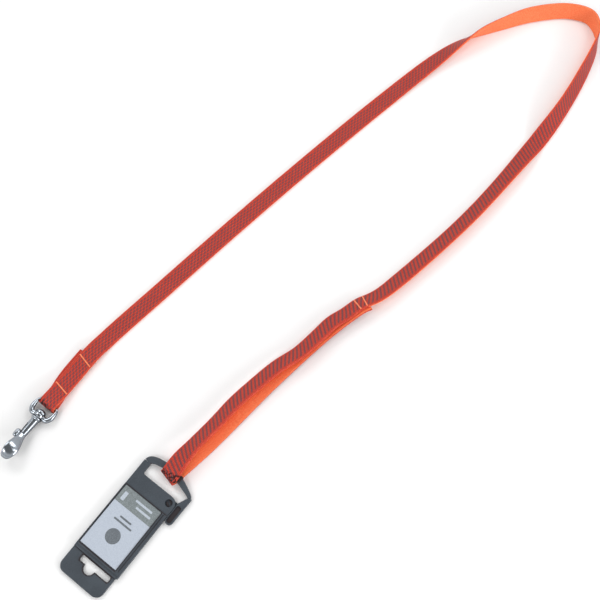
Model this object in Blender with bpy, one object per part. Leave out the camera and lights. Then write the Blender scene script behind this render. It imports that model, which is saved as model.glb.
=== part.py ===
"""Dog leash: flat webbing with a sewn hand loop, a swivel bolt snap and a display hanger card.

Run with: blender --background --python part.py
Units are metres, +Z is up, and the leash lies on the plane z = 0 with the origin
under the middle of its bounding box.
"""

import math

import bmesh
import bpy
from mathutils import Matrix, Vector

MM = 0.001
UP = Vector((0.0, 0.0, 1.0))

# ---------------------------------------------------------------- driving dimensions, mm
STRAP_WIDTH = 15.0
STRAP_THICKNESS = 1.8
STRAP_STEP = 4.0            # distance between the strap's cross-sections
GAP = 0.3                   # clearance between pieces that touch
STITCH_LENGTH = 12.6        # a stitched row, across the strap
STITCH_WIDTH = 0.9
STITCH_HEIGHT = 0.5

EYE_BAR_RADIUS = 1.3
EYE_BAR_HEIGHT = 3.6        # the bar's centre, held inside the strap's fold
EYE_INNER_WIDTH = 16.0
EYE_BASE_START = 9.8        # along the swivel axis, from the bar's centre
EYE_BASE_LENGTH = 3.3
EYE_BOSS_RADIUS = 4.3
SWIVEL_PITCH = 4.5          # the snap rises towards its hook, degrees
SWIVEL_HEADING = 234.5      # the snap's direction on the table, degrees from +X
HOOK_ROLL = 66.0            # the hook's back, turned up about the swivel axis, degrees
KNOB_ROLL = -35.0           # the thumb knob's own direction about the same axis, degrees

RIVET_SHANK_RADIUS = 1.7
RIVET_HEAD_RADIUS = 3.9
RIVET_HEAD_HEIGHT = 3.0

COLLAR_START = 13.5
BARREL_START = 15.4
BARREL_END = 36.2
BARREL_RADIUS = 3.45
BORE_RADIUS = 2.1
BORE_START = 17.6
SLOT_START = 20.8
SLOT_END = 33.2
SLOT_WIDTH = 2.3
BOLT_RADIUS = 1.8
BOLT_START = 30.6
BOLT_END = 44.9
KNOB_CENTRE = 32.0
SPRING_COILS = 8
SPRING_RADIUS = 1.6
SPRING_WIRE = 0.22

CARD_ORIGIN = (-186.5, -220.8)   # the label's lower left corner on the table
CARD_HEADING = 52.6              # the card's long direction, degrees from +X
CARD_LEFT = -1.4
PLATE_RIGHT = 39.2
TRAY_RIGHT = 40.6
LOWER_END = -24.5
TRAY_START = -4.7
TRAY_END = 53.7
UPPER_END = 67.3
BAR_END = 76.4
LOWER_THICKNESS = 2.2
UPPER_THICKNESS = 2.8
TRAY_THICKNESS = 3.4
LABEL_SIZE = (53.0, 35.4)
LABEL_FLOOR = 2.2
LABEL_THICKNESS = 0.35
POCKET_CEILING = 1.5
FLAP_LEFT = TRAY_RIGHT + 0.4

# The strap's route, mm and degrees: x, y, height of its underside, lean.
# It starts at the end sewn under the snap's fold and ends under the hand loop's seam.
# A positive lean lifts the edge on the right of the way to the hand loop.
ROUTE = [
    (-193.2, -73.9, 0.0, 0.0),
    (-207.7, -94.0, 0.0, 0.0),
    (-216.1, -109.6, 0.0, 0.0),
    (-219.8, -115.8, 0.0, 0.0),
    (-221.0, -117.3, 0.8, 0.0),
    (-221.5, -117.9, 2.7, 0.0),
    (-221.0, -117.3, 4.6, 0.0),
    (-219.8, -115.8, 5.4, 0.0),
    (-213.7, -107.5, 4.2, 0.0),
    (-205.1, -95.1, 2.1, 0.0),
    (-189.1, -73.7, 2.1, 0.0),
    (-178.5, -61.3, 0.0, 0.0),
    (-137.0, -19.8, 0.0, 0.0),
    (-76.1, 40.5, 0.0, 0.0),
    (-10.8, 103.1, 0.0, 0.0),
    (59.0, 167.3, 0.0, 1.0),
    (103.0, 205.1, 0.0, 16.0),
    (127.7, 223.3, 0.0, 48.0),
    (145.5, 233.3, 0.0, 80.0),
    (165.5, 242.1, 0.0, 100.0),
    (196.5, 253.7, 0.0, 121.0),
    (230.5, 256.9, 0.0, 118.0),
    (248.7, 249.9, 0.0, 109.0),
    (253.8, 234.1, 0.0, 90.0),
    (250.2, 218.9, 0.0, 71.0),
    (235.1, 188.4, 0.0, 52.0),
    (211.0, 149.9, 0.0, 37.0),
    (171.6, 100.5, 0.0, -22.0),
    (123.2, 46.2, 0.0, -31.0),
    (64.9, -7.8, 0.0, -28.0),
    (44.0, -24.6, 0.2, -32.0),
    (28.0, -32.6, 1.0, -32.0),
    (17.4, -40.7, 1.7, -30.0),
    (5.8, -48.3, 2.1, -29.0),
    (-5.5, -59.4, 2.1, -30.0),
    (-21.1, -73.9, 2.1, -31.0),
    (-39.1, -86.0, 2.1, -32.0),
    (-56.0, -100.4, 2.1, -33.0),
    (-72.2, -115.5, 2.1, -34.0),
    (-87.4, -132.5, 2.3, -36.0),
    (-103.7, -149.9, 3.6, -34.0),
    (-113.6, -162.0, 6.2, -13.0),
    (-119.8, -171.3, 7.2, 0.0),
    (-122.8, -173.8, 3.6, 0.0),
    (-119.8, -171.3, 0.0, 0.0),
    (-95.5, -149.0, 0.0, 0.0),
    (-39.5, -91.8, 0.0, -8.0),
    (3.4, -53.7, 0.0, -24.0),
    (29.7, -34.8, 0.0, -31.0),
    (36.0, -31.9, 0.0, -31.0),
]

# The stitched rows lie on the strap's upper layer, at these distances along it in mm.
SNAP_ROWS = (73.0, 102.0)
LOOP_ROWS = (1042.0, 1049.0)

COLOURS = {
    "webbing": (0.60, 0.09, 0.045),
    "thread": (0.90, 0.22, 0.07),
    "metal": (0.62, 0.65, 0.68),
    "steel": (0.55, 0.57, 0.60),
    "plastic": (0.065, 0.078, 0.092),
    "label": (0.50, 0.54, 0.60),
}


# ---------------------------------------------------------------- shared helpers
def clear_scene():
    for obj in list(bpy.data.objects):
        bpy.data.objects.remove(obj, do_unlink=True)


def material(name, metallic, roughness):
    found = bpy.data.materials.get(name)
    if found:
        return found
    mat = bpy.data.materials.new(name)
    mat.use_nodes = True
    shader = mat.node_tree.nodes["Principled BSDF"]
    shader.inputs["Base Color"].default_value = (*COLOURS[name], 1.0)
    shader.inputs["Metallic"].default_value = metallic
    shader.inputs["Roughness"].default_value = roughness
    return mat


MATERIAL_LOOKS = {
    "webbing": (0.0, 0.8),
    "thread": (0.0, 0.6),
    "metal": (1.0, 0.22),
    "steel": (1.0, 0.35),
    "plastic": (0.0, 0.5),
    "label": (0.0, 0.4),
}


def add_object(name, bm, look, place=None, smooth=True):
    """A named object made from a bmesh in millimetres, put in place by a matrix in metres."""
    bmesh.ops.recalc_face_normals(bm, faces=bm.faces)
    bmesh.ops.scale(bm, vec=(MM, MM, MM), verts=bm.verts)
    mesh = bpy.data.meshes.new(name)
    bm.to_mesh(mesh)
    bm.free()
    if smooth:
        mesh.shade_smooth()
        mesh.set_sharp_from_angle(angle=math.radians(35.0))
    obj = bpy.data.objects.new(name, mesh)
    bpy.context.scene.collection.objects.link(obj)
    if place is not None:
        obj.matrix_world = place
    if look:
        mesh.materials.append(material(look, *MATERIAL_LOOKS[look]))
    return obj


def add_cutter(name, bm, place=None):
    cutter = add_object(name, bm, None, place, smooth=False)
    cutter.hide_render = True
    cutter.display_type = "WIRE"
    return cutter


def boolean(target, cutter, operation):
    step = target.modifiers.new(f"{operation} {cutter.name}", "BOOLEAN")
    step.operation = operation
    step.object = cutter
    step.solver = "EXACT"


def frame_at(origin, x_axis, y_axis):
    """A matrix with its origin in mm and the given x and y directions."""
    x_axis = x_axis.normalized()
    z_axis = x_axis.cross(y_axis).normalized()
    y_axis = z_axis.cross(x_axis)
    rotation = Matrix((x_axis, y_axis, z_axis)).transposed().to_4x4()
    return Matrix.Translation(Vector(origin) * MM) @ rotation


def heading(degrees):
    angle = math.radians(degrees)
    return Vector((math.cos(angle), math.sin(angle), 0.0))


def bridge(bm, rings, closed):
    """Joins rings of vertices with quads, and caps the ends of an open row of rings."""
    count = len(rings[0])
    pairs = list(zip(rings, rings[1:]))
    if closed:
        pairs.append((rings[-1], rings[0]))
    for first, second in pairs:
        for i in range(count):
            j = (i + 1) % count
            bm.faces.new((first[i], first[j], second[j], second[i]))
    if not closed:
        bm.faces.new(rings[0])
        bm.faces.new(list(reversed(rings[-1])))


def prism(outline, low, high):
    """An upright solid over an outline of (x, y) points."""
    bm = bmesh.new()
    rings = [[bm.verts.new((x, y, z)) for x, y in outline] for z in (low, high)]
    bridge(bm, rings, closed=False)
    return bm


def turned(profile, sides):
    """A solid of revolution about X from (x, radius) points; a zero radius closes an end."""
    bm = bmesh.new()
    rings = []
    for x, radius in profile:
        turn = [2.0 * math.pi * i / sides for i in range(sides)]
        rings.append([bm.verts.new((x, radius * math.cos(a), radius * math.sin(a))) for a in turn])
    bridge(bm, rings, closed=False)
    return bm


def arc(centre, radius, start, end, steps):
    """Points on an arc, angles in degrees."""
    points = []
    for i in range(steps + 1):
        angle = math.radians(start + (end - start) * i / steps)
        points.append((centre[0] + radius * math.cos(angle), centre[1] + radius * math.sin(angle)))
    return points


def catmull_rom(points, step):
    """Points a given distance apart on a smooth curve through points of any dimension.

    Knots are spaced by the square root of the distance, so that a tight fold
    between long runs stays round.
    """
    first = [2.0 * a - b for a, b in zip(points[0], points[1])]
    last = [2.0 * a - b for a, b in zip(points[-1], points[-2])]
    padded = [tuple(first), *points, tuple(last)]
    curve = []
    for i in range(1, len(padded) - 2):
        p = padded[i - 1:i + 3]
        knots = [0.0]
        for a, b in zip(p, p[1:]):
            knots.append(knots[-1] + math.sqrt(max(math.dist(a[:3], b[:3]), 1e-6)))
        parts = max(1, math.ceil(math.dist(p[1][:3], p[2][:3]) / step))
        for k in range(parts):
            at = knots[1] + (knots[2] - knots[1]) * k / parts
            curve.append(blend_knots(p, knots, at))
    curve.append(tuple(points[-1]))
    return curve


def blend_knots(p, knots, at):
    """The Barry-Goldman pyramid for one stretch of a Catmull-Rom curve."""
    spans = (
        ((0, 1), (1, 2), (2, 3)),
        ((0, 2), (1, 3)),
        ((1, 2),),
    )
    level = [tuple(v) for v in p]
    for row in spans:
        following = []
        for i, (low, high) in enumerate(row):
            share = (at - knots[low]) / (knots[high] - knots[low])
            following.append(tuple(a + (b - a) * share for a, b in zip(level[i], level[i + 1])))
        level = following
    return level[0]


# ---------------------------------------------------------------- webbing
def strap_stations(step):
    """(centre, across) pairs along the strap: across points to its first selvedge."""
    samples = catmull_rom(ROUTE, step)
    centres = []
    for x, y, under, lean in samples:
        angle = math.radians(lean)
        rise = STRAP_WIDTH * abs(math.sin(angle)) + STRAP_THICKNESS * abs(math.cos(angle))
        centres.append(Vector((x, y, max(under, 0.0) + rise / 2.0)))
    stations = []
    flat = None
    for i, sample in enumerate(samples):
        before = centres[max(i - 1, 0)]
        after = centres[min(i + 1, len(centres) - 1)]
        tangent = (after - before).normalized()
        level = UP.cross(tangent)
        if flat is None:
            flat = -level.normalized()
        elif level.length > 0.75:
            level.normalize()
            flat = level if level.dot(flat) > 0.0 else -level
        lean = math.radians(sample[3])
        across = flat * math.cos(lean) - UP * math.sin(lean)
        across = (across - tangent * across.dot(tangent)).normalized()
        stations.append((centres[i], across, tangent))
    return stations


def make_webbing():
    bm = bmesh.new()
    rings = []
    for centre, across, tangent in strap_stations(STRAP_STEP):
        side = across * (STRAP_WIDTH / 2.0)
        face = tangent.cross(across) * (STRAP_THICKNESS / 2.0)
        corners = (side + face, side - face, -side - face, -side + face)
        rings.append([bm.verts.new(centre + corner) for corner in corners])
    bridge(bm, rings, closed=False)
    return add_object("webbing", bm, "webbing")


def station_at(distance):
    """The strap's centre, across and tangent at a distance in mm along it."""
    stations = strap_stations(1.0)
    travelled = 0.0
    for before, after in zip(stations, stations[1:]):
        travelled += (after[0] - before[0]).length
        if travelled >= distance:
            return after
    return stations[-1]


def make_stitch_row(name, distance):
    centre, across, tangent = station_at(distance)
    face = tangent.cross(across)
    lift = STRAP_THICKNESS / 2.0 + GAP
    bm = bmesh.new()
    rings = []
    for end in (-0.5, 0.5):
        middle = centre + across * (STITCH_LENGTH * end)
        ring = []
        for along, height in ((-0.5, 0.0), (0.5, 0.0), (0.3, 1.0), (-0.3, 1.0)):
            offset = tangent * (STITCH_WIDTH * along) + face * (lift + STITCH_HEIGHT * height)
            ring.append(bm.verts.new(middle + offset))
        rings.append(ring)
    bridge(bm, rings, closed=False)
    return add_object(name, bm, "thread")


# ---------------------------------------------------------------- swivel bolt snap
def swivel_frame():
    """X along the swivel axis towards the hook, Y along the eye's bar."""
    bar = ROUTE[3]
    origin = (bar[0], bar[1], EYE_BAR_HEIGHT)
    pitch = math.radians(SWIVEL_PITCH)
    axis = heading(SWIVEL_HEADING) * math.cos(pitch) + UP * math.sin(pitch)
    return frame_at(origin, axis, heading(SWIVEL_HEADING + 90.0))


def hook_frame():
    """The swivel frame rolled so that Y points to the hook's back."""
    return swivel_frame() @ Matrix.Rotation(math.radians(HOOK_ROLL), 4, "X")


def knob_frame():
    """The swivel frame rolled so that the thumb knob stands out along -Y."""
    return swivel_frame() @ Matrix.Rotation(math.radians(KNOB_ROLL), 4, "X")


def make_swivel_eye():
    """A D-shaped ring with a bored boss at its base."""
    half = EYE_INNER_WIDTH / 2.0 + EYE_BAR_RADIUS
    base = EYE_BASE_START + EYE_BASE_LENGTH / 2.0
    corner = 2.2
    path = [(0.0, half - corner)]
    path += arc((corner, half - corner), corner, 180.0, 90.0, 4)[1:]
    path += arc((base - 5.2, half - 5.2), 5.2, 80.0, 12.0, 5)
    path += [(base, 2.0)]
    path += [(x, -y) for x, y in reversed(path)]
    bm = bmesh.new()
    rings = []
    sides = 12
    for i, (x, y) in enumerate(path):
        before = Vector((*path[i - 1], 0.0))
        after = Vector((*path[(i + 1) % len(path)], 0.0))
        normal = UP.cross(after - before).normalized()
        ring = []
        for k in range(sides):
            angle = 2.0 * math.pi * k / sides
            offset = (normal * math.cos(angle) + UP * math.sin(angle)) * EYE_BAR_RADIUS
            ring.append(bm.verts.new(Vector((x, y, 0.0)) + offset))
        rings.append(ring)
    bridge(bm, rings, closed=True)
    place = swivel_frame()
    eye = add_object("swivel_eye", bm, "metal", place)
    start, end = EYE_BASE_START, EYE_BASE_START + EYE_BASE_LENGTH
    boss = turned([(start, 3.7), (start + 0.8, EYE_BOSS_RADIUS), (end - 0.5, EYE_BOSS_RADIUS),
                   (end, 4.1)], 24)
    boolean(eye, add_cutter("cut_eye_boss", boss, place), "UNION")
    bore = turned([(start - 2.0, RIVET_SHANK_RADIUS + GAP), (end + 1.0, RIVET_SHANK_RADIUS + GAP)], 20)
    boolean(eye, add_cutter("cut_eye_bore", bore, place), "DIFFERENCE")
    return eye


def make_swivel_rivet():
    """A pin through the eye's boss with a peened, domed head inside the ring."""
    head_end = EYE_BASE_START - GAP
    dome = []
    steps = 6
    for i in range(steps + 1):
        angle = math.pi / 2.0 * i / steps
        height = 0.8 + (RIVET_HEAD_HEIGHT - 0.8) * math.sin(math.pi / 2.0 - angle)
        dome.append((head_end - height, max(0.4, RIVET_HEAD_RADIUS * math.sin(angle))))
    profile = dome + [(head_end, RIVET_HEAD_RADIUS), (head_end, RIVET_SHANK_RADIUS),
                      (COLLAR_START + 2.6, RIVET_SHANK_RADIUS)]
    return add_object("swivel_rivet", turned(profile, 24), "metal", hook_frame())


def hook_section(share):
    """The hook's (along, across, thickness, breadth) from the neck, 0, to the nose, 1."""
    keys = [
        (30.0, 1.2, 3.4, 5.4),
        (34.0, 2.6, 3.4, 6.8),
        (37.6, 4.7, 3.2, 9.0),
        (41.6, 6.7, 3.0, 10.8),
        (45.4, 7.3, 3.0, 11.0),
        (48.8, 6.5, 3.2, 9.6),
        (50.8, 4.2, 3.6, 7.6),
        (50.8, 1.6, 4.2, 6.2),
        (49.0, 0.4, 4.4, 5.6),
        (47.2, 0.0, 4.2, 5.2),
        (45.5, 0.0, 3.4, 4.4),
    ]
    place = share * (len(keys) - 1)
    index = min(int(place), len(keys) - 2)
    first = keys[max(index - 1, 0)]
    last = keys[min(index + 2, len(keys) - 1)]
    knots = [0.0, 1.0, 2.0, 3.0]
    return blend_knots([first, keys[index], keys[index + 1], last], knots, 1.0 + place - index)


def sweep_hook():
    """The hook as an oval bar that follows its own curve in the hook's plane."""
    bm = bmesh.new()
    steps = 36
    sides = 16
    rings = []
    for i in range(steps + 1):
        share = i / steps
        along, across, thickness, breadth = hook_section(share)
        ahead = hook_section(min(share + 0.01, 1.0))
        behind = hook_section(max(share - 0.01, 0.0))
        tangent = Vector((ahead[0] - behind[0], ahead[1] - behind[1], 0.0)).normalized()
        normal = UP.cross(tangent)
        ring = []
        for k in range(sides):
            angle = 2.0 * math.pi * k / sides
            offset = normal * (thickness / 2.0 * math.cos(angle)) + UP * (breadth / 2.0 * math.sin(angle))
            ring.append(bm.verts.new(Vector((along, across, 0.0)) + offset))
        rings.append(ring)
    bridge(bm, rings, closed=False)
    return bm


def make_snap_body():
    """Collar, barrel and hook in one casting, bored and slotted for the bolt."""
    place = hook_frame()
    barrel = turned([
        (COLLAR_START, 3.9), (COLLAR_START + 0.4, 4.4), (COLLAR_START + 1.4, 4.4),
        (BARREL_START, 3.9), (BARREL_START + 0.6, BARREL_RADIUS), (24.0, 3.2),
        (30.0, 3.0), (BARREL_END - 0.5, 3.0), (BARREL_END, 2.7)], 32)
    body = add_object("snap_body", barrel, "metal", place)
    boolean(body, add_cutter("cut_hook", sweep_hook(), place), "UNION")
    bore = turned([(BORE_START, BORE_RADIUS), (BOLT_END + GAP, BORE_RADIUS)], 20)
    boolean(body, add_cutter("cut_bore", bore, place), "DIFFERENCE")
    half = SLOT_WIDTH / 2.0
    slot = prism([(SLOT_START, -8.0), (SLOT_END, -8.0), (SLOT_END, 0.0), (SLOT_START, 0.0)], -half, half)
    boolean(body, add_cutter("cut_slot", slot, knob_frame()), "DIFFERENCE")
    shank = turned([(COLLAR_START - 2.0, RIVET_SHANK_RADIUS + GAP),
                    (COLLAR_START + 2.9, RIVET_SHANK_RADIUS + GAP)], 20)
    boolean(body, add_cutter("cut_rivet_seat", shank, place), "DIFFERENCE")
    return body


def make_bolt():
    place = hook_frame()
    profile = [(BOLT_START, BOLT_RADIUS - 0.3), (BOLT_START + 0.4, BOLT_RADIUS),
               (BOLT_END - 1.2, BOLT_RADIUS), (BOLT_END - 0.4, BOLT_RADIUS - 0.4), (BOLT_END, 0.9)]
    bolt = add_object("bolt", turned(profile, 20), "steel", place)
    hole = bmesh.new()
    rings = []
    for height in (-4.0, -0.6):
        turn = [2.0 * math.pi * i / 12 for i in range(12)]
        rings.append([hole.verts.new((KNOB_CENTRE + 1.1 * math.cos(a), height, 1.1 * math.sin(a)))
                      for a in turn])
    bridge(hole, rings, closed=False)
    boolean(bolt, add_cutter("cut_knob_hole", hole, knob_frame()), "DIFFERENCE")
    return bolt


def make_thumb_knob():
    """A stem through the barrel's slot with an oval thumb pad outside it."""
    bm = bmesh.new()
    sides = 20
    levels = [(-0.9, 0.75, 0.75), (-3.6, 0.75, 0.75), (-3.7, 2.6, 1.9), (-4.1, 3.4, 2.5),
              (-5.4, 3.5, 2.6), (-6.1, 2.9, 2.0), (-6.4, 1.6, 1.1)]
    rings = []
    for height, long_radius, short_radius in levels:
        ring = []
        for i in range(sides):
            angle = 2.0 * math.pi * i / sides
            ring.append(bm.verts.new((KNOB_CENTRE + long_radius * math.cos(angle), height,
                                      short_radius * math.sin(angle))))
        rings.append(ring)
    bridge(bm, rings, closed=False)
    return add_object("thumb_knob", bm, "metal", knob_frame())


def make_bolt_spring():
    """The coil spring between the bore's blind end and the bolt."""
    start = BORE_START + GAP + SPRING_WIRE
    end = BOLT_START - GAP - SPRING_WIRE
    steps = SPRING_COILS * 12
    sides = 5
    bm = bmesh.new()
    rings = []
    for i in range(steps + 1):
        share = i / steps
        angle = 2.0 * math.pi * SPRING_COILS * share
        out = Vector((0.0, math.cos(angle), math.sin(angle)))
        centre = Vector((start + (end - start) * share, 0.0, 0.0)) + out * SPRING_RADIUS
        ring = []
        for k in range(sides):
            turn = 2.0 * math.pi * k / sides
            offset = (out * math.cos(turn) + Vector((1.0, 0.0, 0.0)) * math.sin(turn)) * SPRING_WIRE
            ring.append(bm.verts.new(centre + offset))
        rings.append(ring)
    bridge(bm, rings, closed=False)
    return add_object("bolt_spring", bm, "steel", hook_frame())


# ---------------------------------------------------------------- hanger card
def card_frame():
    """X along the card, Y to its left, so a (u, v) point has y = -v."""
    return frame_at((*CARD_ORIGIN, 0.0), heading(CARD_HEADING), heading(CARD_HEADING + 90.0))


def card_prism(outline, low, high):
    return prism([(u, -v) for u, v in outline], low, high)


def rounded_rectangle(low, high, radii, steps=5):
    """Corner radii go round from (low u, low v), through (high u, low v)."""
    (u0, v0), (u1, v1) = low, high
    corners = [((u0, v0), 1, 1, 180.0), ((u1, v0), -1, 1, 270.0), ((u1, v1), -1, -1, 0.0),
               ((u0, v1), 1, -1, 90.0)]
    points = []
    for ((u, v), du, dv, start), radius in zip(corners, radii):
        if radius <= 0.0:
            points.append((u, v))
        else:
            points += arc((u + du * radius, v + dv * radius), radius, start, start + 90.0, steps)
    return points


def make_card_body():
    place = card_frame()
    lower = rounded_rectangle((LOWER_END, CARD_LEFT), (TRAY_START + 1.0, PLATE_RIGHT), (6.0, 0, 0, 6.0))
    card = add_object("card_body", card_prism(lower, 0.0, LOWER_THICKNESS), "plastic", place)
    tray = rounded_rectangle((TRAY_START, CARD_LEFT), (TRAY_END, TRAY_RIGHT), (0, 0, 0, 0.8), 3)
    boolean(card, add_cutter("add_tray", card_prism(tray, 0.0, TRAY_THICKNESS), place), "UNION")
    upper = [(TRAY_END - 0.5, CARD_LEFT), (BAR_END, CARD_LEFT), (BAR_END, 4.5), (69.0, 4.5)]
    upper += arc((69.0, 6.2), 1.7, 270.0, 180.0, 4)
    upper += arc((UPPER_END - 6.4, TRAY_RIGHT - 6.4), 6.4, 0.0, 90.0, 6)
    upper += [(TRAY_END - 0.5, TRAY_RIGHT)]
    boolean(card, add_cutter("add_upper", card_prism(upper, 0.0, UPPER_THICKNESS), place), "UNION")
    recess = rounded_rectangle((-0.4, -0.4), (LABEL_SIZE[0] + 0.3, LABEL_SIZE[1] + 0.4), (0, 0, 0, 0))
    cut_card(card, "cut_label", recess, LABEL_FLOOR, TRAY_THICKNESS + 1.0, place)
    euro = [(-6.0, 8.4), (-6.0, 35.6), (-7.0, 36.4), (-9.6, 36.4), (-10.6, 35.6), (-10.6, 24.0)]
    euro += arc((-10.9, 19.0), 4.8, 78.0, 282.0, 10)
    euro += [(-10.6, 14.0), (-10.6, 9.2), (-9.6, 8.4)]
    cut_card(card, "cut_euro_hole", euro, -1.0, LOWER_THICKNESS + 3.0, place)
    window = arc((62.0, 35.2), 3.0, 0.0, 337.5, 15)
    cut_card(card, "cut_window", window, -1.0, UPPER_THICKNESS + 1.0, place)
    pocket = [(50.6, 29.5), (UPPER_END + 2.0, 29.5), (UPPER_END + 2.0, 44.0), (50.6, 44.0)]
    cut_card(card, "cut_latch_pocket", pocket, -1.0, POCKET_CEILING, place)
    return card


def cut_card(card, name, outline, low, high, place):
    boolean(card, add_cutter(name, card_prism(outline, low, high), place), "DIFFERENCE")


def make_label_insert():
    outline = rounded_rectangle((0.0, 0.0), LABEL_SIZE, (0.6, 0.6, 0.6, 0.6), 2)
    low = LABEL_FLOOR + GAP
    return add_object("label_insert", card_prism(outline, low, low + LABEL_THICKNESS), "label",
                      card_frame())


def make_closure_arm():
    """A flat bar from the card's corner, through the hand loop, to the latch's hinge."""
    keys = [
        (76.8, 1.55, 1.5, 5.7, 2.4),
        (78.6, 2.6, 2.1, 5.9, 2.4),
        (80.6, 6.6, 3.5, 5.6, 2.2),
        (82.0, 13.0, 4.3, 5.4, 2.2),
        (82.4, 20.0, 4.4, 5.2, 2.2),
        (81.0, 28.2, 4.1, 5.6, 2.4),
        (78.5, 36.2, 3.0, 4.8, 2.4),
        (76.1, 42.4, 2.0, 2.5, 2.6),
        (74.4, 45.5, 1.7, 1.8, 2.6),
    ]
    curve = catmull_rom(keys, 2.4)
    bm = bmesh.new()
    rings = []
    for i, (u, v, z, width, thickness) in enumerate(curve):
        before = curve[max(i - 1, 0)]
        after = curve[min(i + 1, len(curve) - 1)]
        level = Vector((after[0] - before[0], before[1] - after[1], 0.0)).normalized()
        if i == 0:
            level = Vector((1.0, 0.0, 0.0))
        side = UP.cross(level) * (width / 2.0)
        rise = UP * (thickness / 2.0)
        centre = Vector((u, -v, z))
        chamfer = 0.7
        corners = [side * chamfer + rise, -side * chamfer + rise, -side + rise * 0.4,
                   -side - rise * 0.4, -side * chamfer - rise, side * chamfer - rise,
                   side - rise * 0.4, side + rise * 0.4]
        rings.append([bm.verts.new(centre + corner) for corner in corners])
    bridge(bm, rings, closed=False)
    return add_object("closure_arm", bm, "plastic", card_frame())


def make_latch_flap():
    """The fold-back flap: a tongue under the card's plate carries the boss in its window."""
    place = card_frame()
    outline = [(73.2, 47.0), (73.0, 44.6), (66.4, FLAP_LEFT)]
    outline += arc((51.8, FLAP_LEFT + 3.0), 3.0, -90.0, -270.0, 8)
    flap = add_object("latch_flap", card_prism(outline, 0.3, 3.0), "plastic", place)
    tongue = rounded_rectangle((57.0, 31.0), (66.0, 42.4), (1.5, 0, 0, 1.5), 3)
    boolean(flap, add_cutter("add_tongue", card_prism(tongue, 0.3, 0.9), place), "UNION")
    boss = arc((62.0, 35.2), 2.4, 0.0, 345.0, 15)
    boolean(flap, add_cutter("add_boss", card_prism(boss, 0.5, 1.2), place), "UNION")
    recess = rounded_rectangle((51.5, 42.2), (63.8, 44.9), (1.2, 1.2, 1.2, 1.2), 3)
    cut_card(flap, "cut_flap_recess", recess, 1.4, 4.0, place)
    return flap


# ---------------------------------------------------------------- assembly
def main():
    clear_scene()
    make_webbing()
    for number, distance in enumerate(SNAP_ROWS, 1):
        make_stitch_row(f"snap_stitch_row_{number}", distance)
    for number, distance in enumerate(LOOP_ROWS, 1):
        make_stitch_row(f"loop_stitch_row_{number}", distance)
    make_swivel_eye()
    make_swivel_rivet()
    make_snap_body()
    make_bolt()
    make_thumb_knob()
    make_bolt_spring()
    make_card_body()
    make_label_insert()
    make_closure_arm()
    make_latch_flap()


main()
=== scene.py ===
"""The looks of the dog leash: woven webbing, stitching, a chromed snap and a moulded hanger card.

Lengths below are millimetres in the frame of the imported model, and meshes are made in metres.
"""

import math

import bmesh
import bpy
from mathutils import Matrix, Vector, noise


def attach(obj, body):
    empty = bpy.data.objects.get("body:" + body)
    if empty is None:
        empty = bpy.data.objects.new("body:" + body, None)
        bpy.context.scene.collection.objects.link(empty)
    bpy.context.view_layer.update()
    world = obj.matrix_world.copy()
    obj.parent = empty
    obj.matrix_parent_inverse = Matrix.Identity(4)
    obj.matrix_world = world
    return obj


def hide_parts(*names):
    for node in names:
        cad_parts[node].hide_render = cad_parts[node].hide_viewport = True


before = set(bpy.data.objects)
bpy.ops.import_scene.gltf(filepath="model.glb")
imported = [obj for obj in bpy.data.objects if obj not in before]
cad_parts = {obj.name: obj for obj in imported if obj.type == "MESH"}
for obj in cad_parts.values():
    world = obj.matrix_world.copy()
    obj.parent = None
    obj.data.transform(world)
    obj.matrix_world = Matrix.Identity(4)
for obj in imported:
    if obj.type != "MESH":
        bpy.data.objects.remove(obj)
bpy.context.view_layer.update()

MM = 0.001
UP = Vector((0.0, 0.0, 1.0))

# ---------------------------------------------------------------- camera and lights
LOOK_AT = (-20.5, -26.5, 0.0)
CAMERA_DISTANCE = 752.0
CAMERA_ELEVATION = 70.0
CAMERA_LENS = 54.3
SENSOR = 36.0
SOFTBOX_DISTANCE = 1.5      # metres from the middle of the floor

# name, azimuth and elevation in degrees, size in metres, watts
SOFTBOXES = [
    ("key", 125.0, 50.0, (0.9, 0.6), 6.0),
    ("right", 322.0, 22.0, (1.1, 0.3), 8.0),
    ("spoon", 342.0, 42.0, (0.25, 0.9), 2.2),
    ("left", 220.0, 45.0, (0.8, 0.5), 5.0),
    ("back", 40.0, 50.0, (0.8, 0.5), 4.5),
]

# ---------------------------------------------------------------- webbing
STRAP_WIDTH = 15.0
STRAP_THICKNESS = 1.8
STRAP_STEP = 1.2
SELVEDGE = 1.3              # the plain edges beside the grip pattern
LOWER_SELVEDGE = 2.2
FOLDS = (54.6, 1254.0)      # where the webbing turns back on itself, along the strap
TWIST = (450.0, 700.0)      # where the strap turns over, along it
ASKEW = (-0.24, 0.24)       # how far the weave leans before and after the twist
BAR_PITCH = 3.8             # between two dark bars of the grip pattern, along the strap
BAR_ANGLE = 50.0            # the bars against the strap's direction, degrees
DASH_PITCH = 2.3            # between two dashes in a bar
RIB_PITCH = 1.05            # the weave's ribs, along the strap

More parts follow.
